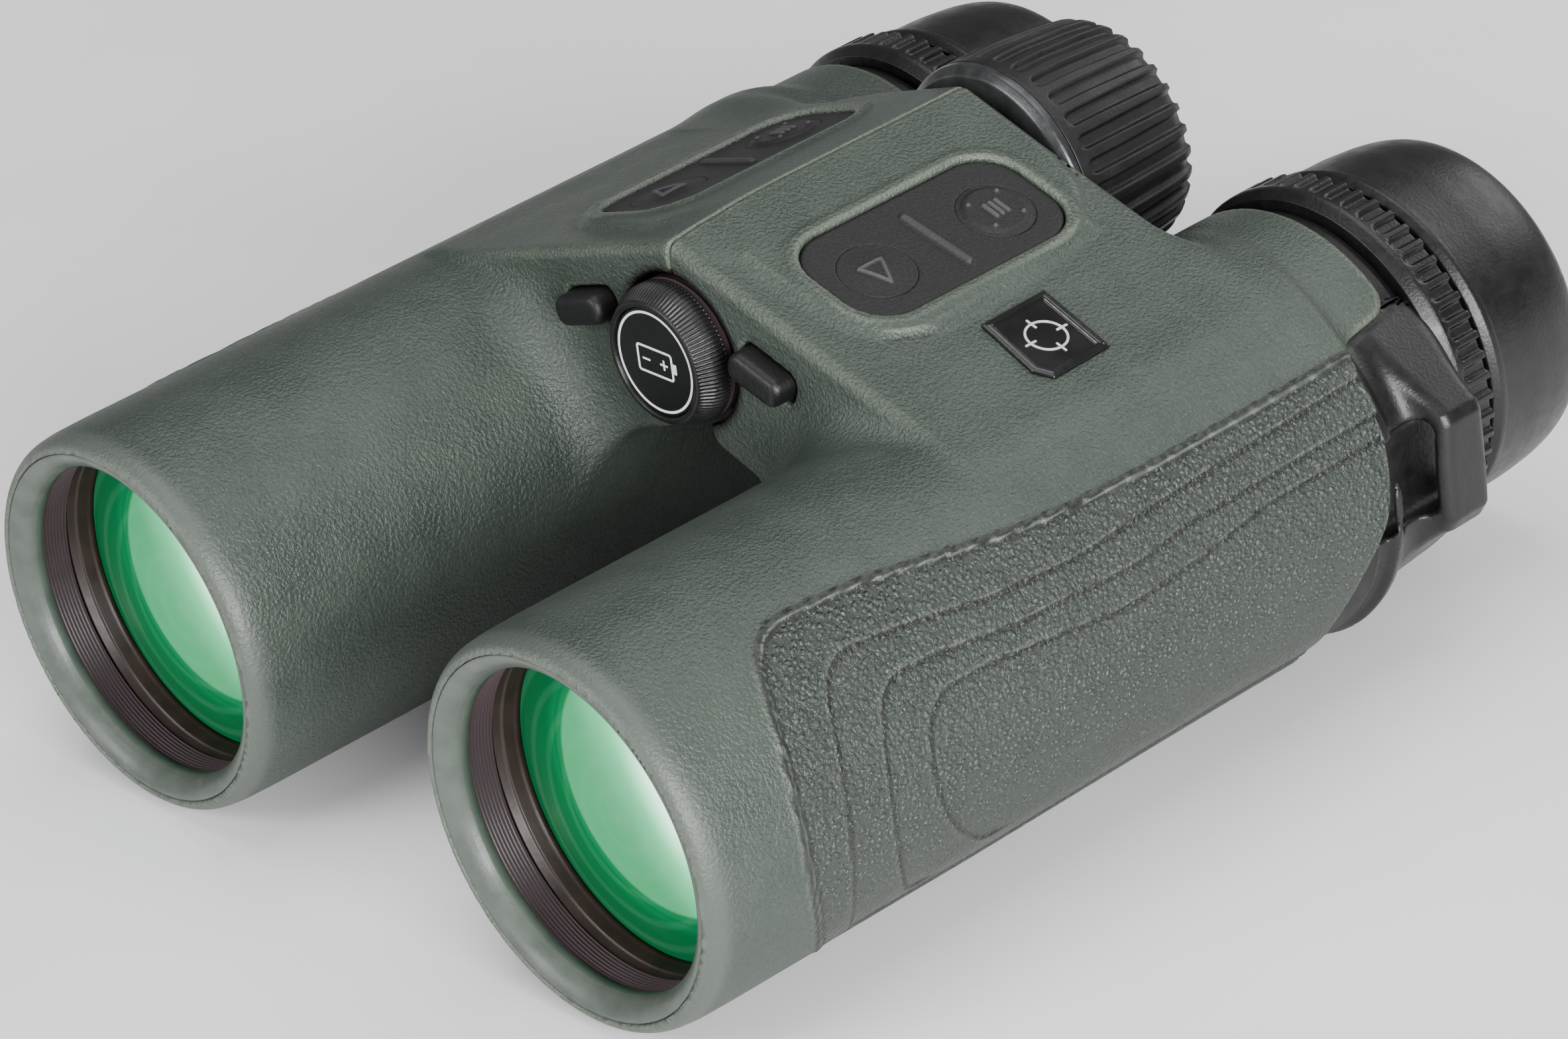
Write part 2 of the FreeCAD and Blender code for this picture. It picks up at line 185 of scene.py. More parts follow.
def gradient(field, points, e=0.04):
    """Gradient of a field at the points, and its value there."""
    g = np.empty_like(points)
    for axis in range(3):
        d = np.zeros(3)
        d[axis] = e
        g[:, axis] = (field(*(points + d).T) - field(*(points - d).T)) / (2 * e)
    return g, field(*points.T)


def sharpness(field, points, e=0.55):
    """Positive on convex edges and negative in creases, per millimetre."""
    total = -6 * field(*points.T)
    for axis in range(3):
        d = np.zeros(3)
        d[axis] = e
        total = total + field(*(points + d).T) + field(*(points - d).T)
    return total / e ** 2


# Blender pieces

def place(points):
    """From millimetres in the drawing frame to metres in the row frame."""
    return (np.asarray(points, float) + ROW_SHIFT) / 1000


def build(name, points, faces, side=1, marks=None, fix_normals=False):
    """New mesh object from points in drawing millimetres; side -1 mirrors it to the left."""
    points = np.array(points, float)
    if side < 0:
        points[:, 0] *= -1
    mesh = bpy.data.meshes.new(name)
    if isinstance(faces, np.ndarray):
        flip = faces[:, ::-1] if side < 0 else faces
        count = len(flip)
        mesh.vertices.add(len(points))
        mesh.vertices.foreach_set("co", place(points).astype(np.float32).ravel())
        mesh.loops.add(4 * count)
        mesh.loops.foreach_set("vertex_index", np.ascontiguousarray(flip, np.int32).ravel())
        mesh.polygons.add(count)
        mesh.polygons.foreach_set("loop_start", np.arange(0, 4 * count, 4, dtype=np.int32))
        mesh.update(calc_edges=True)
    else:
        mesh.from_pydata(place(points).tolist(), [], [f[::side] for f in faces])
    for key, values in (marks or {}).items():
        layer = mesh.attributes.new(key, "FLOAT", "POINT")
        layer.data.foreach_set("value", np.asarray(values, np.float32))
    if fix_normals:
        bm = bmesh.new()
        bm.from_mesh(mesh)
        bmesh.ops.recalc_face_normals(bm, faces=bm.faces)
        bm.to_mesh(mesh)
        bm.free()
    mesh.polygons.foreach_set("use_smooth", [True] * len(mesh.polygons))
    thing = bpy.data.objects.new(name, mesh)
    bpy.context.scene.collection.objects.link(thing)
    return thing


def dress(thing, material, slot, body, *nodes):
    """Gives a piece its material and CAD body, and hides the CAD nodes it stands for. The slot argument is
    not used.
    """
    thing.data.materials.clear()
    thing.data.materials.append(material)
    if nodes:
        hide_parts(*nodes)
    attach(thing, body)


def outline(corners, step=None):
    """Closed (radius, y) outline; a third number on a corner rounds it by that much."""
    flat = [tuple(c) + (0.0,) if len(c) == 2 else tuple(c) for c in corners]
    out = []
    for i, (r, y, size) in enumerate(flat):
        here = np.array((r, y))
        if not size:
            out.append(here)
            continue
        first, last = (
            here + way * min(size / max(np.hypot(*way), 1e-6), 0.5)
            for way in (np.array(other[:2]) - here for other in (flat[i - 1], flat[(i + 1) % len(flat)])))
        for t in np.linspace(0, 1, 7):
            out.append((1 - t) ** 2 * first + 2 * t * (1 - t) * here + t * t * last)
    if step:
        fine = []
        for a, b in zip(out, out[1:] + out[:1]):
            parts = max(int(math.ceil(np.hypot(*(b - a)) / step)), 1)
            fine += [a + (b - a) * k / parts for k in range(parts)]
        out = fine
    return np.array(out)


def lathe(name, axis, corners, side=1, turns=192, relief=None, step=None, open_ends=False):
    """Ring-shaped solid round an axis along y. relief(angle, r, y) is added to the radius."""
    shape = outline(corners, step)
    angle = np.arange(turns) * 2 * math.pi / turns
    r = np.repeat(shape[:, :1], turns, 1)
    y = np.repeat(shape[:, 1:], turns, 1)
    a = np.repeat(angle[None, :], len(shape), 0)
    if relief:
        r = r + relief(a, r, y)
    points = np.stack([axis[0] + r * np.sin(a), y, axis[1] + r * np.cos(a)], -1).reshape(-1, 3)
    rows = len(shape) - (1 if open_ends else 0)
    i, j = np.meshgrid(np.arange(rows), np.arange(turns), indexing="ij")
    i2, j2 = (i + 1) % len(shape), (j + 1) % turns
    quads = np.stack([i * turns + j, i2 * turns + j, i2 * turns + j2, i * turns + j2], -1).reshape(-1, 4)
    if not open_ends:
        return build(name, points, quads, side, fix_normals=True)
    faces = quads.tolist() + [list(range(turns)), list(range(len(points) - turns, len(points)))]
    return build(name, points, faces, side, fix_normals=True)


# Armour

# A grip terrace starts at y = front + bow * (angle - middle) ** 2, ends along top(y) and bottom; the
# angles are degrees round the barrel from straight up.
Terrace = namedtuple("Terrace", "front bow middle top bottom")
TERRACES = (
    Terrace(12.0, 0.0022, 83.0, curve([(14, 28.8), (25, 29.4), (34, 31.0), (45, 35.3), (55, 39.2),
                                       (65, 41.4), (80, 42.4), (112, 42.0)]), 150.0),
    Terrace(19.3, 0.0022, 92.0, curve([(18, 45.0), (28, 45.8), (39, 48.9), (48, 52.7), (62, 55.0),
                                       (80, 52.5), (103, 50.5), (112, 50.0)]), 143.0),
    Terrace(26.2, 0.0032, 90.0, curve([(25, 57.0), (32, 57.6), (42, 60.0), (51, 62.6), (70, 64.6),
                                       (78, 62.0), (112, 61.0)]), 136.0),
    Terrace(33.2, 0.0060, 87.0, curve([(34, 67.4), (40, 68.0), (47, 69.0), (55, 71.0), (66, 74.0),
                                       (78, 72.5), (90, 68.5), (112, 67.5)]), 129.0),
)
TERRACE_STEP = 0.26
BORDER_RISE = 0.3                      # raised edging of the outermost terrace
THUMB_DEPTH = 0.6
DEGREE = 0.443                         # millimetres per degree round a barrel
EYE_DEGREE = 0.41                      # and round an eyepiece
ARMOUR_END = curve([
    (-180, 103.8), (-150, 105.0), (-125, 112.0), (35, 112.0), (49, 112.2), (57, 112.5), (67, 112.2),
    (80, 111.3), (93, 110.2), (108, 106.6), (125, 104.0), (180, 103.8)], 4)
RIM = curve([(-3.0, 24.8), (1.6, 25.32), (6, 25.4), (130, 25.4)], 0.8)
RIDGE_DROP = curve([(55, 1.2), (57, 1.1), (70, 0.5), (76, 0.0), (120, 0.0)])
PLATEAU_FRONT = curve([
    (0, 61.2), (10, 61.6), (18, 62.3), (25.5, 63.6), (29.5, 66.0), (33, 73.0), (36, 80.0)], 1.2)
PLATEAU_SIDE = curve([(62, 31.8), (74, 32.0), (85, 31.4), (92, 31.0), (100, 29.3), (106, 27.5)], 2)
PLATEAU_REAR = curve([(0, 107.6), (8, 107.4), (15.5, 107.0), (21.4, 105.8), (29, 101.0)], 1.5)
BRIDGE_FRONT, BRIDGE_REAR = 57.0, 109.0
BRIDGE_MIDDLE, BRIDGE_HALF = 83.0, 24.4       # the room inside it, along y
PEG_X, PEG_Z, PEG_FRONT = 16.0, 27.0, 54.0
FRONT = -2.75                          # the rounding takes this back to about -2.5
LEAST_SKIN_R = 24.1                    # the terraces never cut deeper than this
BORE_R, MOUTH_R = 22.9, 23.3
TONGUE_R, TONGUE_REAR = 23.4, 123.5
TONGUE_LEFT = -150.0                   # where the tongue ends on the inner side, degrees round the eyepiece
COLLAR_R = 22.15
HINGE_BORE, KNUCKLE_BORE = 10.05, 12.2
HINGE_FACE = math.radians(19.5)        # slope of the face each half turns to the other under the hinge


def polar(x, z, centre_x, centre_z=0.0):
    """Radius and angle in degrees from straight up, round an axis along y."""
    return np.hypot(x - centre_x, z - centre_z), np.degrees(np.arctan2(x - centre_x, z - centre_z))


def past_front(terrace, theta, y):
    """Distance behind a terrace's front line, along y."""
    return y - terrace.front - terrace.bow * (theta - terrace.middle) ** 2


def terrace_depth(terrace, theta, y):
    """Distance inside a grip terrace, in millimetres along the surface."""
    inside = smin(past_front(terrace, theta, y), (theta - terrace.top(y)) * DEGREE, 5.0)
    return smin(inside, (terrace.bottom - theta) * DEGREE, 1.6)


def terrace_shown(terrace, theta, y):
    """0 along the lower closing line of the two inner terraces, which fade out there."""
    if terrace in TERRACES[:2]:
        return 1.0
    low = ramp(theta, terrace.bottom - 16, terrace.bottom - 6)
    return 1 - low * ramp(past_front(terrace, theta, y), 1.5, 6.0)


def roof_coordinates(x, z):
    """Distance down the roof slope and height above it."""
    return x * COS - (z - RIDGE_Z) * SIN, x * SIN + (z - RIDGE_Z) * COS


def pad_outline(s, y):
    return rounded_box(s - PAD[0], y - PAD[1], PAD[2], PAD[3], PAD_CORNER)


def bridge_field(x, y, z):
    """Roof block between the barrels: a 1 mm plateau with a raised lip round the keypad."""
    r, theta = polar(x, z, BARREL_X)
    s, h = roof_coordinates(x, z)
    near_ridge = 1 - ramp(s, 0, 9)
    edge = np.minimum(PLATEAU_SIDE(y) - s, PLATEAU_REAR(s) - y)
    half_step, front_step = 1.3, 1.3 + 9 * near_ridge
    plateau = ramp(edge, -half_step, half_step) * ramp(y - PLATEAU_FRONT(s), -front_step, front_step)
    lip = 0.32 * (1 - ramp(np.abs(pad_outline(s, y) - 0.9), 0.3, 1.3))
    body = h + 1 - plateau - lip + 0.25 * RIDGE_DROP(y) * near_ridge
    body = smax(body, -0.335 * (x - 4.4) - 0.942 * (z - 13.1), 3.0)      # underside
    inner_side, outer_side = np.maximum(22 - theta, 0), np.maximum(theta - 20, 0)
    limit = 25.7 + 0.15 * inner_side + 0.02 * inner_side ** 2 - 0.06 * outer_side ** 2
    body = smax(body, r - limit, 2.0)
    body = smax(body, BRIDGE_FRONT - y, 1.6)
    return smax(body, y - BRIDGE_REAR, 3.0)


def peg_field(x, y, z, grow=0.0):
    """Rubber bumper on the front of the bridge, open towards the rear."""
    u = (x - PEG_X) * COS - (z - PEG_Z) * SIN
    v = (x - PEG_X) * SIN + (z - PEG_Z) * COS
    return smax(rounded_box(u, v, 4.5 + grow, 2.0 + grow, 1.7), PEG_FRONT - y, 1.2)


def tongue_edge(y):
    """Angle round the eyepiece where the armour tongue ends, in degrees."""
    return 51.6 - 0.35 * (y - 112.6)


def hinge_face(x, z):
    """Distance past the face that a half turns to the other one under the hinge."""
    return (HINGE_Z - z) * math.sin(HINGE_FACE) - x * math.cos(HINGE_FACE)


def barrel_field(x, y, z):
    """Skin of a barrel, with the grip terraces and the hollow for a thumb."""
    r, theta = polar(x, z, BARREL_X)
    depth = np.zeros(np.shape(r))
    for terrace in TERRACES:
        d = terrace_depth(terrace, theta, y)
        depth = depth + TERRACE_STEP * ramp(d, -0.3, 0.35) * terrace_shown(terrace, theta, y)
        if terrace is TERRACES[0]:
            depth = depth - BORDER_RISE * ramp(d, -0.5, 0.1) * (1 - ramp(d, 0.75, 1.15))
    thumb = ramp(y, 40, 95) * ramp(theta, 85, 118) * (1 - ramp(theta, 135, 172))
    surface = smax(RIM(y) - depth - THUMB_DEPTH * thumb, LEAST_SKIN_R, 0.5)
    barrel = smax(r - surface, FRONT - y, 2.8)
    return smax(barrel, y - ARMOUR_END(theta), 1.4)


def tongue_field(x, y, z):
    """Thin tongue of armour that reaches back over the eyepiece collar."""
    re, phi = polar(x, z, EYE_X, EYE_Z)
    tongue = np.maximum(re - TONGUE_R + 2.6 * (1 - ramp(y, 102, 109.5)), 102.0 - y)
    side = (phi - tongue_edge(y)) * EYE_DEGREE
    tongue = smax(tongue, smax(y - TONGUE_REAR, side, 3.2), 0.9)
    return smax(tongue, (TONGUE_LEFT - phi) * EYE_DEGREE, 1.0)


def hollow_field(x, y, z):
    """Everything cut out of the armour: barrel, eyepiece, hinge, keypad and bumper."""
    r, _ = polar(x, z, BARREL_X)
    re, _ = polar(x, z, EYE_X, EYE_Z)
    rh, _ = polar(x, z, 0, HINGE_Z)
    s, h = roof_coordinates(x, z)
    past_bridge = np.abs(y - BRIDGE_MIDDLE) - BRIDGE_HALF
    return np.minimum.reduce([
        np.maximum(r - BORE_R, np.abs(y - 55.5) - 52.6),
        np.maximum(r - MOUTH_R, y - 2.9),
        np.maximum(inside_bridge(x, y, z) + 1.6, past_bridge),
        np.maximum(rh - KNUCKLE_BORE, past_bridge),
        rh - HINGE_BORE,
        np.maximum(re - COLLAR_R, 107.9 - y),
        np.maximum(pad_outline(s, y), -h - 4),
        np.maximum(peg_field(x, y, z, 0.35), y - 60),
    ])


def inside_bridge(x, y, z):
    """The bridge's section, carried on past its ends."""
    return bridge_field(x, np.clip(y, 60.9, 104.9), z)


def armour_field(x, y, z):
    _, theta = polar(x, z, BARREL_X)
    blend_width = 1.2 + 7.0 * (1 - ramp(y, 58, 70)) * (1 - ramp(theta, -35, 5))
    body = smin(barrel_field(x, y, z), bridge_field(x, y, z), blend_width)
    body = smin(body, tongue_field(x, y, z), 4.5)
    body = smax(body, 0.12 - x, 0.4)
    body = smax(body, hinge_face(x, z), 0.6)
    return smax(body, -hollow_field(x, y, z), 0.35)


def armour_marks(points):
    """Masks for the armour material, each about 0 to 1 except edge and line, which go negative."""
    x, y, z = points.T
    r, theta = polar(x, z, BARREL_X)
    rh, _ = polar(x, z, 0, HINGE_Z)
    outside = ramp(r, 23.6, 24.0)
    # The groove mask paints shade into the terrace steps. The pale step-edge mask is partly wear and partly
    # painted highlight.
    groove, wear_and_highlight = 0.0, 0.0
    for k, terrace in enumerate(TERRACES):
        d = terrace_depth(terrace, theta, y)
        corner = ramp(np.abs(theta - terrace.middle), 70, 30) * ramp(40 + 8 * k - y, 0, 12)
        shown = terrace_shown(terrace, theta, y) * outside
        groove = np.maximum(groove, (1 - ramp(np.abs(d - 0.15), 0.15, 0.6)) * shown)
        wear_and_highlight = np.maximum(wear_and_highlight, (1 - ramp(np.abs(d + 0.5), 0.1, 0.4)) * (0.1 + 0.5 * corner) * shown)
    d = terrace_depth(TERRACES[0], theta, y)
    groove = np.maximum(groove, (1 - ramp(np.abs(d - 1.2), 0.1, 0.4)) * outside)
    # Painted shade: the shade mask goes near-black on the face under the hinge and round the hinge bore.
    under = ramp(hinge_face(x, z), -0.7, -0.3)
    return {
        "grip": ramp(d, 1.0, 1.5) * outside,
        "border": ramp(d, -0.2, 0.2) * (1 - ramp(d, 0.8, 1.2)) * outside,
        "edge": np.clip(sharpness(armour_field, points), -2, 2),
        "line": groove - wear_and_highlight,
        "grain": ramp(y + 0.35 * (r - 25.0), -0.6, 1.6),
        "shade": np.maximum(under, ramp(rh, 11.2, 10.6)) * (z < 36.5),
    }


def buried(points):
    """Inner walls that only the chassis would see."""
    x, y, z = points.T
    r, _ = polar(x, z, BARREL_X)
    in_bridge = (inside_bridge(x, y, z) < -1.35) & (y > 58) & (y < 107.9)
    return in_bridge | ((r < 24.05) & (y > 2) & (y < 108.0))


# Materials

def node(tree, kind, inputs=None, **settings):
    """Shader node; each of its inputs is a value or another node's socket."""
    new = tree.nodes.new("ShaderNode" + kind)
    for key, value in settings.items():
        setattr(new, key, value)
    for key, value in (inputs or {}).items():
        if isinstance(value, bpy.types.NodeSocket):
            tree.links.new(value, new.inputs[key])
        else:
            new.inputs[key].default_value = value
    return new


def calc(tree, operation, a, b=0.0, c=0.0, clamp=False):
    """Result of a Math node."""
    return node(tree, "Math", {0: a, 1: b, 2: c}, operation=operation, use_clamp=clamp).outputs[0]


def times(tree, a, b):
    return calc(tree, "MULTIPLY", a, b)


def blend(tree, factor, a, b):
    return node(tree, "Mix", {0: factor, 6: a, 7: b}, data_type="RGBA").outputs[2]


def blend_value(tree, factor, a, b):
    return node(tree, "Mix", {0: factor, 2: a, 3: b}, data_type="FLOAT").outputs[0]


def spread(tree, value, a, b, low=0.0, high=1.0):
    """Smooth step from low at a to high at b."""
    inputs = {0: value, 1: a, 2: b, 3: low, 4: high}
    return node(tree, "MapRange", inputs, interpolation_type="SMOOTHSTEP").outputs[0]


def srgb(r, g, b):
    """Linear RGBA of a colour given as 0 to 255."""
    def linear(c):
        c /= 255
        return c / 12.92 if c <= 0.04045 else ((c + 0.055) / 1.055) ** 2.4
    return (linear(r), linear(g), linear(b), 1.0)


def noise(tree, where, size, detail=3.0):
    """Noise with features of about that many millimetres."""
    inputs = {"Vector": where, "Scale": 1000.0 / size, "Detail": detail, "Roughness": 0.55}
    return node(tree, "TexNoise", inputs).outputs[0]


def start(name):
    """New material with its node tree, shader and object coordinates."""
    made = bpy.data.materials.new(name)
    made.use_nodes = True
    tree = made.node_tree
    shader = tree.nodes["Principled BSDF"]
    where = node(tree, "TexCoord").outputs["Object"]
    return made, tree, shader, where


def finish_bump(tree, shader, height, distance):
    """Bump from a 0 to 1 height; distance in millimetres."""
    bump = node(tree, "Bump", {"Strength": 1.0, "Distance": distance / 1000, "Height": height})
    tree.links.new(bump.outputs[0], shader.inputs["Normal"])


def simple(name, dark, light, size, rough, relief, relief_size, metallic=0.0, coat=0.0):
    """Two mottled tones, uneven roughness and a fine grain; sizes and relief in millimetres."""
    made, tree, shader, where = start(name)
    tone = spread(tree, noise(tree, where, size), 0.3, 0.7)
    tree.links.new(blend(tree, tone, srgb(*dark), srgb(*light)), shader.inputs["Base Color"])
    patches = noise(tree, where, size * 0.6, 5.0)
    tree.links.new(spread(tree, patches, 0.25, 0.75, rough - 0.06, rough + 0.06), shader.inputs["Roughness"])
    shader.inputs["Metallic"].default_value = metallic
    shader.inputs["Coat Weight"].default_value = coat
    shader.inputs["IOR"].default_value = 1.5
    finish_bump(tree, shader, noise(tree, where, relief_size, 4.0), relief)
    return made


def armour_material():
    """Green leather-grained rubber: pebbled grip, roped border, painted shade in grooves, creases and pebble
    hollows, edges paler as wear and painted highlight, a front painted lighter and painted shade under the
    hinge.
    """
    made, tree, shader, where = start("armour_leather")
    grip, border, edge, line, grain, shade = (
        node(tree, "Attribute", attribute_name=key).outputs["Fac"]
        for key in ("grip", "border", "edge", "line", "grain", "shade"))
    wobble = node(tree, "TexNoise", {"Vector": where, "Scale": 1000 / 1.6, "Detail": 2.0}).outputs["Color"]
    bend = (0.0006, 0.0006, 0.0006)
    shift = node(tree, "VectorMath", {0: wobble, 1: bend}, operation="MULTIPLY").outputs[0]
    bent = node(tree, "VectorMath", {0: where, 1: shift}, operation="ADD").outputs[0]
    cells = node(tree, "TexVoronoi", {"Vector": bent, "Scale": 1000 / 0.82}, feature="F1").outputs["Distance"]
    pebble = spread(tree, cells, 0.62, 0.12)
    fine = spread(tree, noise(tree, where, 0.5, 2.0), 0.3, 0.7)
    broad = noise(tree, where, 9.0, 4.0)
    speck = noise(tree, where, 0.35, 2.0)

    base = blend(tree, spread(tree, broad, 0.3, 0.7), srgb(44, 54, 47), srgb(52, 62, 54))
    base = blend(tree, times(tree, spread(tree, speck, 0.5, 0.75), 0.3), base, srgb(88, 97, 88))
    # Painted shade in the hollows between the grip's pebbles.
    low = times(tree, calc(tree, "SUBTRACT", 1.0, pebble), grip)
    base = blend(tree, times(tree, low, 0.5), base, srgb(16, 21, 17))
    # Pale convex edges and step edges: partly wear, partly painted highlight.
    wear_and_highlight = times(tree, spread(tree, line, 0.0, -1.0), 0.9)
    pale = calc(tree, "MAXIMUM", spread(tree, edge, 0.15, 1.4), wear_and_highlight)
    pale = calc(tree, "MULTIPLY", pale, spread(tree, speck, 0.25, 0.6, 0.5, 1.0), clamp=True)
    base = blend(tree, times(tree, pale, 0.26), base, srgb(140, 146, 130))
    # Painted shade in concave creases and along the terrace grooves.
    dark = calc(tree, "MAXIMUM", spread(tree, edge, -0.6, -1.8), spread(tree, line, 0.0, 0.8))
    base = blend(tree, times(tree, dark, 0.85), base, srgb(10, 13, 10))
    # Painted light: the smooth front of the barrel is painted lighter, as if lit from the front.
    painted_light_front = calc(tree, "SUBTRACT", 1.0, grain)
    base = blend(tree, times(tree, painted_light_front, 0.6), base, srgb(78, 84, 78))
    # Painted shade: near-black under the hinge and round the hinge bore.
    base = blend(tree, shade, base, srgb(9, 9, 9))
    tree.links.new(base, shader.inputs["Base Color"])

    rough = spread(tree, broad, 0.3, 0.7, 0.40, 0.50)
    tree.links.new(calc(tree, "MULTIPLY_ADD", grip, -0.08, rough), shader.inputs["Roughness"])
    shader.inputs["Specular IOR Level"].default_value = 0.6

    waves = {"Vector": where, "Scale": 1000 / 5.5, "Distortion": 1.0}
    rope = node(tree, "TexWave", waves, bands_direction="DIAGONAL").outputs["Fac"]
    pebbled = calc(tree, "MULTIPLY_ADD", fine, 0.4, pebble)
    height = blend_value(tree, grip, times(tree, fine, 0.3), pebbled)
    height = blend_value(tree, border, height, rope)
    height = calc(tree, "MULTIPLY_ADD", speck, 0.25, height)
    height = times(tree, height, calc(tree, "MULTIPLY_ADD", grain, 0.6, 0.4))
    finish_bump(tree, shader, height, 0.32)
    return made


RIB_START, RIB_PITCH, RIB_COUNT = 1.6, 0.5, 8


def baffle_material():
    """Dark anodised threads, with painted highlight along the crests and painted shade between them."""
    made, tree, shader, where = start("black_baffle")
    split = node(tree, "SeparateXYZ", {0: where})
    first_crest = (-ROW_SHIFT[1] - RIB_START - 0.2) / RIB_PITCH
    turn = calc(tree, "MULTIPLY_ADD", split.outputs[1], 1000.0 / RIB_PITCH, first_crest)
    crest = calc(tree, "COSINE", times(tree, turn, 2 * math.pi))
    mottle = spread(tree, noise(tree, where, 3.0), 0.3, 0.7)
    base = blend(tree, mottle, srgb(26, 20, 22), srgb(34, 27, 29))
    # Painted highlight on the crests and painted shade in the troughs.
    base = blend(tree, spread(tree, crest, 0.3, 1.0, 0.0, 0.6), base, srgb(84, 68, 72))
    base = blend(tree, spread(tree, crest, 0.0, -1.0, 0.0, 0.7), base, srgb(8, 6, 7))
    tree.links.new(base, shader.inputs["Base Color"])
    shader.inputs["Roughness"].default_value = 0.42
    finish_bump(tree, shader, noise(tree, where, 0.4, 3.0), 0.02)
    return made


def pad_material():
    """Speckled rubber, worn paler on the raised marks."""
    made, tree, shader, where = start("rubber_pad")
    speck = noise(tree, where, 0.4, 3.0)
    icon = node(tree, "Attribute", attribute_name="icon").outputs["Fac"]
    base = blend(tree, spread(tree, speck, 0.4, 0.7), srgb(6, 6, 7), srgb(20, 19, 21))
    base = blend(tree, times(tree, icon, 0.8), base, srgb(70, 70, 73))
    tree.links.new(base, shader.inputs["Base Color"])
    shader.inputs["Roughness"].default_value = 0.58
    finish_bump(tree, shader, speck, 0.12)
    return made


def lens_material(name, side):
    """Green coating with a softly painted reflection, centred on one objective."""
    made, tree, shader, where = start(name)
    split = node(tree, "SeparateXYZ", {0: where})
    dx = calc(tree, "MULTIPLY_ADD", split.outputs[0], 1000.0, -side * BARREL_X)
    dz = calc(tree, "MULTIPLY_ADD", split.outputs[2], 1000.0, -ROW_SHIFT[2])

    def distance(cx, cz):
        a = calc(tree, "SUBTRACT", dx, cx)
        b = calc(tree, "SUBTRACT", dz, cz)
        return calc(tree, "SQRT", calc(tree, "MULTIPLY_ADD", a, a, times(tree, b, b)))

    circle = distance(4.6, 3.0)
    circle_r = 16.4
    mint = spread(tree, circle, circle_r, circle_r - 0.6)
    slant = calc(tree, "MULTIPLY_ADD", dx, 0.846, times(tree, dz, 0.533))
    across = calc(tree, "MULTIPLY_ADD", dx, -0.533, times(tree, dz, 0.846))
    glow = times(tree, spread(tree, slant, -3.0, 8.0), mint)
    middle = spread(tree, calc(tree, "ABSOLUTE", calc(tree, "ADD", across, 1.5)), 14.0, 3.0)
    white = times(tree, times(tree, spread(tree, slant, 2.0, 11.0), mint), middle)
    off_line = calc(tree, "ABSOLUTE", calc(tree, "SUBTRACT", circle, circle_r + 1.0))
    rings = calc(tree, "SINE", times(tree, distance(-1.2, -2.4), 1.9))

    # All these colours are painted reflection: the green, the mint disc, the white highlight and the rings.
    base = blend(tree, spread(tree, distance(0.0, 0.0), 12.0, 21.0), srgb(14, 118, 66), srgb(10, 96, 54))
    for amount, colour in (
            (times(tree, spread(tree, circle, 19.5, 16.6), 0.35), (40, 170, 104)),
            (spread(tree, off_line, 0.0, 0.5, 0.4, 0.0), (16, 96, 66)),
            (times(tree, mint, 0.92), (84, 198, 134)),
            (times(tree, glow, 0.8), (120, 248, 176)),
            (times(tree, white, 0.97), (250, 255, 252)),
            (times(tree, spread(tree, rings, 0.2, 1.0), 0.05), (150, 225, 185)),
            (spread(tree, noise(tree, where, 14.0, 2.0), 0.4, 0.75, 0.0, 0.12), (18, 100, 66))):
        base = blend(tree, amount, base, srgb(*colour))
    tree.links.new(blend(tree, 0.85, base, srgb(2, 12, 7)), shader.inputs["Base Color"])
    # The painted reflection is also the emission, so the lens glows, brightest in the painted white
    # highlight.
    tree.links.new(base, shader.inputs["Emission Color"])
    strength = calc(tree, "MULTIPLY_ADD", white, 3.2, calc(tree, "MULTIPLY_ADD", glow, 0.7, 0.95))
    tree.links.new(strength, shader.inputs["Emission Strength"])
    shader.inputs["Roughness"].default_value = 0.15
    shader.inputs["Specular IOR Level"].default_value = 0.12
    return made


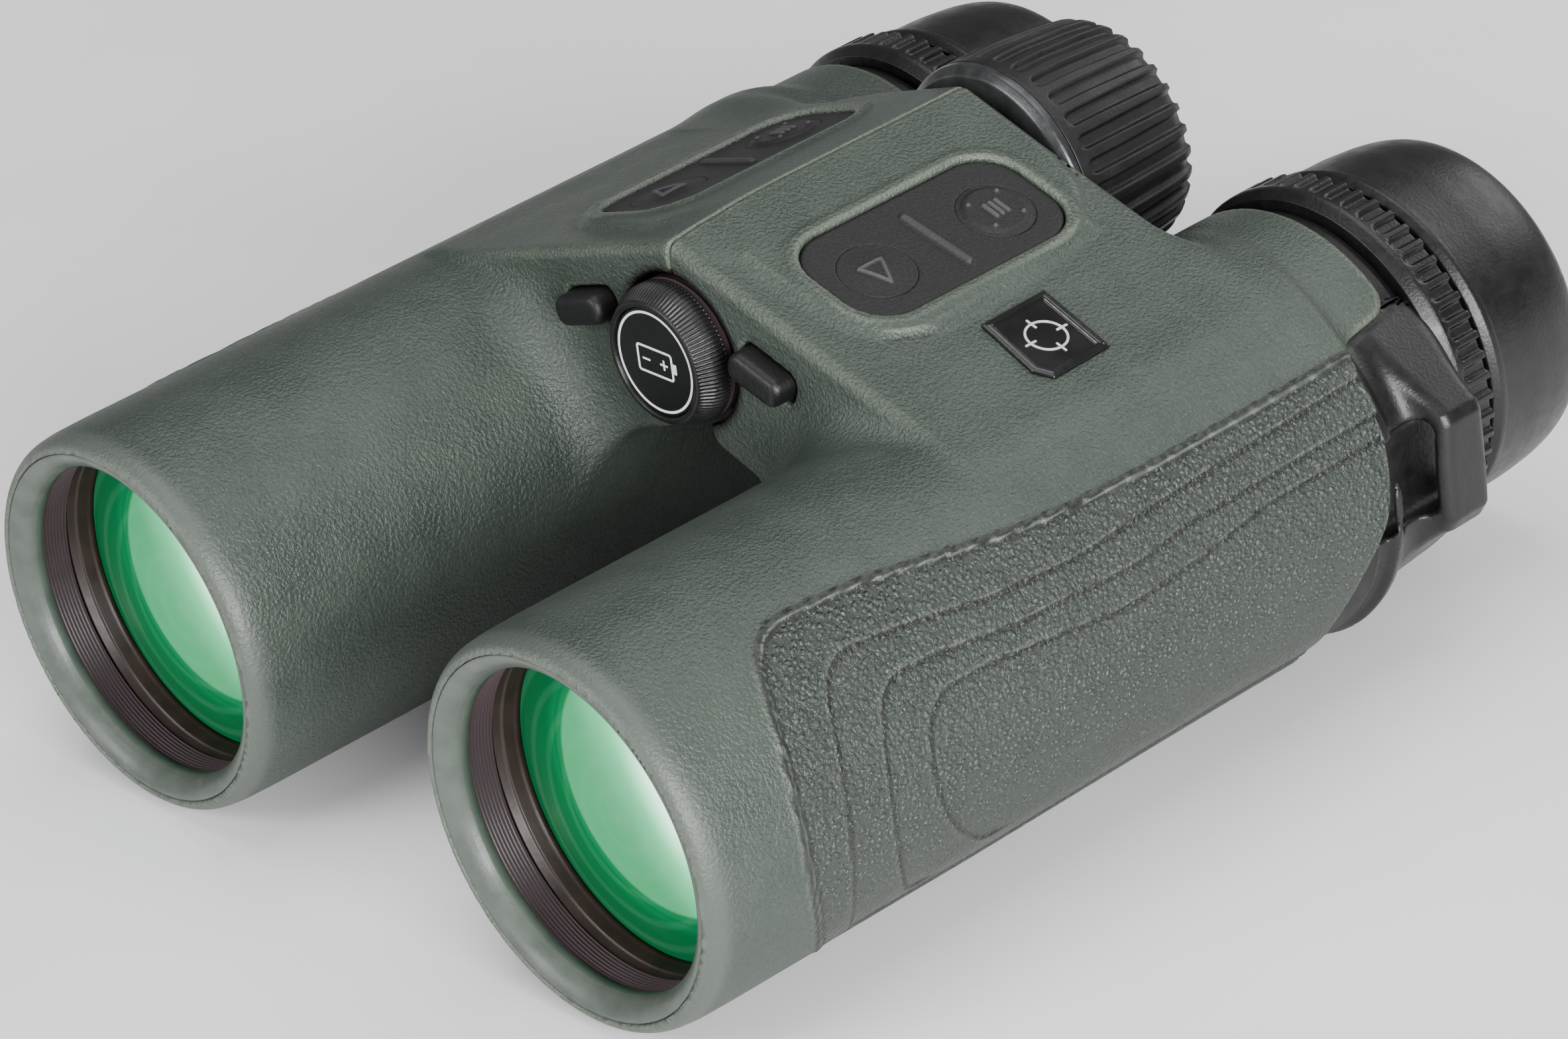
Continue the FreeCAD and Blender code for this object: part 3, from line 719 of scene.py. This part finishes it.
# In each row: name, dark and light tone, mottle size, roughness, relief and relief size.
MAT = {
    "armour": armour_material(),
    "rubber": simple("rubber_black", (6, 6, 7), (12, 12, 13), 4.0, 0.48, 0.06, 0.5),
    "pad": pad_material(),
    "satin": simple("satin_black_paint", (8, 8, 9), (15, 15, 16), 3.0, 0.36, 0.05, 0.4),
    "plastic": simple("plastic_black", (9, 9, 10), (16, 16, 17), 3.0, 0.38, 0.05, 0.45),
    "baffle": baffle_material(),
    # Painted highlight: the rim is painted paler than the armour, as the light on its rounded lip.
    "rim": simple("smooth_rim_painted_light", (66, 73, 67), (78, 84, 78), 4.0, 0.4, 0.03, 0.5),
    "retainer": simple("bronze_retainer", (34, 23, 21), (46, 32, 29), 5.0, 0.45, 0.02, 0.5),
    "grey_metal": simple("grey_shoulder", (60, 61, 62), (80, 81, 82), 3.0, 0.32, 0.02, 0.4, metallic=0.7),
    "metal": simple("cast_magnesium", (9, 9, 9), (15, 15, 16), 5.0, 0.6, 0.05, 0.6),
    "gloss": simple("gloss_black", (9, 9, 10), (15, 15, 16), 8.0, 0.22, 0.01, 0.6, coat=0.3),
    "print": simple("white_print", (222, 224, 224), (240, 241, 241), 2.0, 0.45, 0.01, 0.3),
    "silver": simple("silver_print", (190, 193, 198), (214, 216, 220), 1.5, 0.32, 0.01, 0.3, metallic=0.3),
    "circuit": simple("green_board", (14, 60, 34), (24, 84, 50), 3.0, 0.4, 0.02, 0.5),
    "contact": simple("plated_contact", (180, 150, 90), (206, 178, 118), 3.0, 0.3, 0.01, 0.4, metallic=1.0),
    "cell": simple("steel_can", (130, 132, 136), (160, 162, 166), 5.0, 0.3, 0.01, 0.4, metallic=0.9),
    "brass": simple("turned_brass", (150, 120, 66), (180, 148, 88), 4.0, 0.32, 0.01, 0.3, metallic=1.0),
    "module": simple("module_case", (105, 100, 92), (130, 124, 114), 4.0, 0.4, 0.02, 0.5, metallic=0.7),
    "glass": simple("clear_glass", (60, 84, 76), (84, 110, 100), 9.0, 0.06, 0.0, 1.0, coat=0.8),
}


# Armour, rims and covers

skin_step = 0.55
points, quads = surface_net(armour_field, (-0.6, -3.0, -26.6), (67.6, 125.4, 42.6), skin_step)
marks = armour_marks(points)
quads = quads[~np.all(buried(points)[quads], axis=1)]
kept, order = np.unique(quads, return_inverse=True)
armour_points, armour_quads = points[kept], order.reshape(-1, 4)
armour_values = {key: values[kept] for key, values in marks.items()}
peg_net = surface_net(
    lambda x, y, z: smax(peg_field(x, y, z), y - 58.4, 0.4), (10.6, 53.4, 22.6), (21.6, 59.2, 31.6), 0.25)

for name, side in SIDES:
    half = name + "_half"
    skin = build("armour_skin_" + name, armour_points, armour_quads, side, armour_values)
    dress(skin, MAT["armour"], "armour", half, "armour_" + name)

    rim = lathe("rim_" + name, (BARREL_X, 0), [
        (20.68, 1.25), (20.7, 0.15, 0.12), (20.95, -0.5, 0.3), (21.7, -1.5, 0.7), (22.7, -2.2, 0.6),
        (23.2, -2.2, 0.2), (23.28, -1.9, 0.1), (23.28, 2.9), (22.6, 2.9), (22.6, 1.25)], side, 256)
    dress(rim, MAT["rim"], "armour", half, "rim_lip_" + name)

    ribs = [(22.55, 1.35), (21.1, 1.35)]
    for i in range(RIB_COUNT):
        y = RIB_START + RIB_PITCH * i
        ribs += [(22.0, y), (21.2, y + 0.2, 0.06)]
    ribs += [(22.3, 5.5), (22.3, 5.9), (22.55, 5.9)]
    baffle = lathe("ribbed_baffle_" + name, (BARREL_X, 0), ribs, side, 256)
    dress(baffle, MAT["baffle"], "anodised_black", half, "objective_baffle_" + name)

    ring = lathe("retainer_" + name, (BARREL_X, 0), [
        (22.5, 6.0), (21.95, 6.0, 0.1), (21.6, 6.95, 0.15), (21.35, 7.15, 0.1), (21.2, 8.6, 0.2),
        (20.9, 9.3), (22.5, 9.3)], side, 256)
    dress(ring, MAT["retainer"], "anodised_black", half, "objective_retainer_" + name)

    _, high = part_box("objective_lens_" + name)
    back = high.y * 1000 - ROW_SHIFT[1]
    lens_r, lens_rim_y, sag = 21.0, 9.5, 2.2
    face = [(lens_r * math.sin(t), lens_rim_y - sag * math.cos(t) ** 2)
            for t in np.linspace(0.001, math.pi / 2, 40)]
    glass = lathe("objective_glass_" + name, (BARREL_X, 0), face + [(lens_r, back - 0.6), (0.02, back - 0.4)],
                  side, 192, open_ends=True)
    dress(glass, lens_material("lens_painted_reflection_" + name, side), "coated_glass", half, "objective_lens_" + name)

    peg = build("peg_" + name, *peg_net, side)
    dress(peg, MAT["rubber"], "black_rubber", half, "front_bumper_" + name)


COVER_Y = (108.3, 110.2, 111.2, 112.4, 114.0, 117.0, 121.0, 126.2)
COVER_R = (23.6, 23.6, 24.7, 24.4, 22.9, 21.9, 21.5, 21.0)
LUG_MIDDLE, LUG_HALF = 122.3, 3.5      # along y
SLOT = (63.4, 2.0, 2.0, 6.3)           # centre and half sizes, in x and z
SLOT_CORNER = 1.7
LUG = [(50, 20), (58, 14.5), (66.6, 9.4), (67.3, 8), (67.3, -5), (66, -6.8), (58, -9.5), (50, -14)]


def lug_field(x, y, z):
    """Black rear cover of a barrel with the strap lug and its slot."""
    r, _ = polar(x, z, BARREL_X)
    re, phi = polar(x, z, EYE_X, EYE_Z)
    body = smax(r - np.interp(y, COVER_Y, COVER_R), y - 125.9, 0.8)
    lug = smax(polygon(x, z, LUG), np.abs(y - LUG_MIDDLE) - LUG_HALF, 1.6)
    body = smin(body, lug, 6.0)
    body = smax(body, -rounded_box(x - SLOT[0], z - SLOT[1], SLOT[2], SLOT[3], SLOT_CORNER), 0.5)
    beside_tongue = np.minimum(tongue_edge(y) + 1.0 - phi, phi - TONGUE_LEFT + 1.0) * EYE_DEGREE
    under_tongue = np.minimum(beside_tongue, TONGUE_REAR - 0.2 - y)
    body = smax(body, np.minimum(re - TONGUE_R + 0.5, under_tongue), 0.6)
    body = smax(body, COLLAR_R - re, 0.3)
    return smax(body, 108.4 - y, 0.3)


lug_step = 0.42
lug_net = surface_net(lug_field, (15.5, 107.6, -25.6), (68.4, 127.0, 25.6), lug_step)
for name, side in SIDES:
    lug = build("strap_cover_" + name, *lug_net, side)
    dress(lug, MAT["plastic"], "black_plastic", name + "_half", "strap_lug_" + name)


# Eyepieces

DIOPTER_TEETH = 56
WHEEL_GROOVES = 31


def teeth(count, depth, y0, y1, half_width, tip):
    """Relief for round-bottomed grooves along y, with rounded ends."""
    def relief(a, r, y):
        pitch = 2 * math.pi / count
        off = np.abs((a + pitch / 2) % pitch - pitch / 2) * r
        inside = np.maximum(np.maximum(y0 + tip - y, y - (y1 - tip)), 0)
        far = np.hypot(off / half_width, inside / tip)
        groove = np.sqrt(np.clip(1 - far ** 2, 0, 1))
        return -depth * ramp(groove, 0.0, 0.9) * (r > 5)
    return relief


for name, side in SIDES:
    half = name + "_half"
    housing = lathe("eyepiece_body_" + name, (EYE_X, EYE_Z), [
        (16.2, 104.2), (18.0, 104.2), (18.0, 108.3), (22.1, 108.3), (22.1, 125.3, 0.3), (21.8, 126.3, 0.2),
        (21.0, 126.5), (21.0, 133.8), (15.0, 133.8), (15.0, 145.0, 0.2), (11.8, 145.0, 0.2),
        (11.8, 143.5), (12.7, 143.5), (12.7, 133.0), (16.2, 129.5)], side, 256)
    dress(housing, MAT["satin"], "satin_black", half, "eyepiece_housing_" + name)
    ring = lathe("diopter_" + name, (EYE_X, EYE_Z), [
        (21.05, 126.7), (23.1, 126.7, 0.1), (24.0, 127.9, 0.2), (24.15, 128.3, 0.1), (24.15, 133.2, 0.35),
        (21.05, 133.2)], side, DIOPTER_TEETH * 14, teeth(DIOPTER_TEETH, 0.75, 128.9, 134.6, 0.92, 0.8), 0.35)
    dress(ring, MAT["satin"], "satin_black", "diopter_ring_" + name, "diopter_ring_" + name)
    cup = lathe("cup_" + name, (EYE_X, EYE_Z), [
        (17.75, 134.4), (22.6, 134.4, 0.25), (23.4, 135.4, 0.3), (23.35, 136.3, 0.2), (22.95, 136.7, 0.2),
        (22.85, 143.0, 1.0), (22.45, 147.5, 1.5), (21.9, 150.2, 1.0), (21.2, 151.9, 0.8), (20.1, 152.7, 0.6),
        (19.2, 152.4, 0.5), (18.2, 151.0, 1.0), (17.0, 147.6, 0.8), (15.6, 146.6, 0.3), (15.6, 143.65),
        (17.75, 143.65)], side, 256)
    dress(cup, MAT["plastic"], "black_plastic", "eyecup_" + name, "eyecup_" + name)


# Keypads

PAD_TOP = -0.3                         # below the roof surface
KEY_DEPTH = 2.2


def pad_field(s, y, h):
    """Keypad with its raised divider and an opening for each button."""
    rib_x = np.clip(s, 14.6, 25.2)
    rib_y = 83.0 + (rib_x - 14.6) * 0.07
    rib = np.hypot(s - rib_x, y - rib_y)
    top = PAD_TOP + 0.5 * (1 - ramp(rib, 0.2, 0.85))
    edge = rounded_box(s - PAD[0], y - PAD[1], PAD[2] - 0.05, PAD[3] - 0.05, PAD_CORNER)
    body = smax(edge, h - top, 0.7)
    for u, v in BUTTONS.values():
        body = smax(body, BUTTON_R + 0.01 - np.hypot(s - u, y - v), 0.02)
    return np.maximum(body, -KEY_DEPTH - h)


def rear_marks(s, y):
    """Distance to the three bars and four dots on the rear button."""
    u, v = s - BUTTONS["rear"][0], y - BUTTONS["rear"][1]
    bars = [rounded_box(u, v - 0.95 * k, 1.3, 0.16, 0.1) for k in (-1, 0, 1)]
    return np.minimum.reduce(bars + [np.hypot(np.abs(u) - 2.4, np.abs(v) - 2.4) - 0.15])


def front_marks(s, y):
    """Distance to the triangle on the front button."""
    return np.abs(polygon(s, y, [(18.7, 71.5), (18.7, 75.1), (22.6, 73.2)])) - 0.1


def front_button_field(s, y, h):
    """Domed button with a raised triangle."""
    ring = np.hypot(s - BUTTONS["front"][0], y - BUTTONS["front"][1])
    top = PAD_TOP + 0.35 * (1 - ramp(ring, 0.0, BUTTON_R))
    top = top + 0.26 * (1 - ramp(front_marks(s, y), 0.0, 0.28))
    body = smax(ring - BUTTON_R + 0.01, h - top, 0.02)
    return np.maximum(body, -KEY_DEPTH - h)


def rear_button_field(s, y, h):
    """Flat-topped button with raised bars and dots."""
    ring = np.hypot(s - BUTTONS["rear"][0], y - BUTTONS["rear"][1])
    top = PAD_TOP + 0.42 * (1 - ramp(ring, 3.7, 4.7))
    top = top + 0.28 * (1 - ramp(rear_marks(s, y), 0.0, 0.28))
    body = smax(ring - BUTTON_R + 0.01, h - top, 0.02)
    return np.maximum(body, -KEY_DEPTH - h)


pad_step = 0.2
pad_net = surface_net(pad_field, (10.0, 65.0, -2.8), (29.0, 101.6, 1.0), pad_step)
button_nets = {
    "front": surface_net(front_button_field, (14.6, 68.0, -2.6), (25.4, 78.8, 0.8), 0.14),
    "rear": surface_net(rear_button_field, (14.8, 87.7, -2.6), (25.6, 98.5, 0.9), 0.14),
}


def on_slope(points):
    """Roof coordinates (s, y, h) to the drawing frame."""
    return np.stack(slope_xyz(*points.T), 1)


for name, side in SIDES:
    rib = 0.5 * ramp(pad_net[0][:, 2], -0.2, 0.1)
    pad = build("pad_" + name, on_slope(pad_net[0]), pad_net[1], side, {"icon": rib})
    dress(pad, MAT["pad"], "black_rubber", name + "_half", "keypad_" + name)
    for place_name, (points, quads) in button_nets.items():
        icon = front_marks if place_name == "front" else rear_marks
        marks = {"icon": (1 - ramp(icon(points[:, 0], points[:, 1]), 0.0, 0.3)) * (points[:, 2] > -0.4)}
        button = build(place_name + "_key_" + name, on_slope(points), quads, side, marks)
        key = place_name + "_button_" + name
        dress(button, MAT["pad"], "black_rubber", key, key)


# Name plate

MARK_CENTRE, MARK_R = (40.6, 81.9), 2.6
BADGE = [(34.6, 76.8), (34.4, 87.6), (46.6, 86.7), (46.9, 77.1), (44.5, 75.7)]


def badge_field(s, y, h):
    """Plate with a bevelled edge and a raised line inside it."""
    d = polygon(s, y, BADGE)
    top = -0.5 - 0.28 * ramp(-d, 1.0, 1.25) + 0.1 * (1 - ramp(np.abs(d + 0.75), 0.1, 0.3))
    body = smax(d, h - top, 0.25)
    return np.maximum(body, -2.4 - h)


points, quads = surface_net(badge_field, (33.6, 75.0, -2.6), (47.7, 88.4, 0.1), 0.14)
badge = build("badge_plate", on_slope(points), quads)
dress(badge, MAT["gloss"], "name_plate", "right_half", "name_plate")


def mark_field(s, y, h):
    """Plain sighting mark: a ring with four ticks."""
    u, v = s - MARK_CENTRE[0], y - MARK_CENTRE[1]
    ring = np.abs(np.hypot(u, v) - MARK_R) - 0.16
    side_ticks = rounded_box(np.abs(u) - MARK_R, v, 0.9, 0.16, 0.1)
    end_ticks = rounded_box(u, np.abs(v) - MARK_R, 0.16, 0.9, 0.1)
    return np.maximum(np.minimum.reduce([ring, side_ticks, end_ticks]), np.abs(h + 0.74) - 0.08)


points, quads = surface_net(mark_field, (36.4, 77.8, -0.95), (44.8, 86.0, -0.5), 0.08)
mark = build("sight_mark", on_slope(points), quads)
dress(mark, MAT["silver"], "name_plate", "right_half")


# Battery cap

CAP_RIBS = 100
CAP_FACE_Y = 52.78


def cap_relief(a, r, y):
    """Fine ribs round the edge of the cap."""
    return -0.2 * ramp(np.cos(a * CAP_RIBS), -0.2, 0.7) * ramp(r, 8.0, 8.35) * (y < 56.6)


def print_field(x, y, z):
    """White print on the cap: a ring round a battery with plus and minus."""
    v = z - HINGE_Z
    ring = np.abs(np.hypot(x, v) - 6.6) - 0.17
    case = np.abs(rounded_box(x, v, 3.1, 1.75, 0.4)) - 0.16
    tip = rounded_box(x - 3.55, v, 0.35, 0.7, 0.1)
    plus = np.minimum(rounded_box(x - 1.6, v, 0.7, 0.15, 0.05), rounded_box(x - 1.6, v, 0.15, 0.7, 0.05))
    minus = rounded_box(x + 1.6, v, 0.7, 0.15, 0.05)
    return np.maximum(np.minimum.reduce([ring, case, tip, plus, minus]), np.abs(y - CAP_FACE_Y) - 0.05)


cap = lathe("cap_shell", (0, HINGE_Z), [
    (0.02, 53.05), (7.2, 53.05), (7.35, 52.4, 0.2), (8.0, 52.45, 0.3), (9.1, 54.3, 0.4), (9.4, 55.4, 0.3),
    (9.4, 56.7, 0.2), (7.6, 56.7), (7.6, 58.7), (0.02, 58.7)],
    1, CAP_RIBS * 8, cap_relief, 0.3, open_ends=True)
dress(cap, MAT["plastic"], "black_plastic", "battery_cap", "battery_cap")
disc = lathe("cap_face", (0, HINGE_Z), [
    (0.02, CAP_FACE_Y), (7.1, CAP_FACE_Y, 0.1), (7.1, 53.2), (0.02, 53.2)], 1, 128, open_ends=True)
dress(disc, MAT["gloss"], "name_plate", "battery_cap", "cap_disc")
points, quads = surface_net(print_field, (-7.2, 52.6, 18.3), (7.2, 53.0, 32.7), 0.08)
dress(build("cap_print", points, quads), MAT["print"], "name_plate", "battery_cap")


# Focus wheel

shoulder = lathe("wheel_body", (0, HINGE_Z), [
    (4.0, 109.4), (15.3, 109.4, 0.3), (16.3, 110.3, 0.3), (16.4, 111.2, 0.1), (13.0, 111.2),
    (13.0, 130.9, 0.2), (12.2, 131.9, 0.4), (4.0, 132.5), (0.02, 132.5), (0.02, 130.6), (11.4, 130.6),
    (11.4, 112.8), (7.0, 112.8), (7.0, 118.0), (4.0, 118.0)], 1, 192)
dress(shoulder, MAT["grey_metal"], "satin_black", "focus_wheel", "focus_wheel")
tyre = lathe("wheel_tyre", (0, HINGE_Z), [
    (13.02, 111.3), (16.44, 111.3, 0.2), (16.44, 118.0, 1.0), (16.1, 122.0, 1.0), (15.8, 126.0, 1.0),
    (15.3, 129.5, 0.8), (14.2, 131.3, 0.5), (13.02, 131.5)],
    1, WHEEL_GROOVES * 22, teeth(WHEEL_GROOVES, 0.85, 112.9, 134.5, 1.05, 1.1), 0.35)
dress(tyre, MAT["rubber"], "black_rubber", "focus_wheel", "focus_grip")


# CAD pieces that stay as they are

PLAIN = {
    "magnesium": "metal", "satin_black": "satin", "black_plastic": "plastic", "anodised_black": "baffle",
    "coated_glass": "glass", "prism_glass": "glass", "name_plate": "gloss", "circuit": "circuit",
    "contact": "contact", "cell": "cell", "seal": "rubber", "module": "module", "brass": "brass",
    "black_rubber": "rubber", "armour": "armour",
}
slot_of = {part["node"]: part["material_slot"] for part in frame["record"]["subparts"]}
for node_name, thing in frame["nodes"].items():
    if thing.hide_render:
        continue
    chosen = MAT[PLAIN[slot_of[node_name]]]
    for holder in thing.material_slots:
        holder.material = chosen


# Floor, light and camera

floor = bpy.data.objects.new("floor", bpy.data.meshes.new("floor"))
reach = 3.0
corners = [(-reach, -reach, 0), (reach, -reach, 0), (reach, reach, 0), (-reach, reach, 0)]
floor.data.from_pydata(corners, [], [(0, 1, 2, 3)])
bpy.context.scene.collection.objects.link(floor)
paper = simple("floor_paper", (238, 238, 238), (244, 244, 244), 60.0, 0.7, 0.01, 3.0)
floor.data.materials.append(paper)
floor.location.z = -0.0002

world = bpy.data.worlds.new("studio")
bpy.context.scene.world = world
world.use_nodes = True
world.node_tree.nodes["Background"].inputs["Color"].default_value = (1.0, 1.0, 1.0, 1.0)
world.node_tree.nodes["Background"].inputs["Strength"].default_value = 0.22


def softbox(name, where, size, power, target=(0, 0, 0.03)):
    """Rectangular lamp that faces the object."""
    light = bpy.data.lights.new(name, "AREA")
    light.shape = "RECTANGLE"
    light.size, light.size_y = size
    light.energy = power
    lamp = bpy.data.objects.new(name, light)
    lamp.location = where
    lamp.rotation_euler = (Vector(target) - Vector(where)).to_track_quat("-Z", "Y").to_euler()
    bpy.context.scene.collection.objects.link(lamp)


softbox("right_key", (1.05, -0.45, 0.40), (0.9, 0.45), 31.0)
softbox("top_light", (0.0, 0.1, 1.2), (1.0, 1.0), 8.0)
softbox("front_light", (-0.35, -1.2, 0.7), (0.7, 0.5), 12.0)
softbox("back_light", (0.1, 1.1, 0.7), (0.9, 0.5), 5.0)

azimuth, elevation, roll = (math.radians(v) for v in (50.97, 28.22, -7.5))
level = math.cos(elevation)
back = Vector((math.sin(azimuth) * level, -math.cos(azimuth) * level, math.sin(elevation)))
right = Vector((math.cos(azimuth), math.sin(azimuth), 0))
up = back.cross(right)
axis_x = right * math.cos(roll) + up * math.sin(roll)
axis_y = up * math.cos(roll) - right * math.sin(roll)
camera = bpy.data.objects.new("camera", bpy.data.cameras.new("camera"))
camera.data.lens = 156.88
camera.data.sensor_width = 36.0
camera.matrix_world = Matrix((axis_x, axis_y, back)).transposed().to_4x4()
camera.matrix_world.translation = Vector((0.5817, -0.47785, 0.4234))
bpy.context.scene.collection.objects.link(camera)
bpy.context.scene.camera = camera
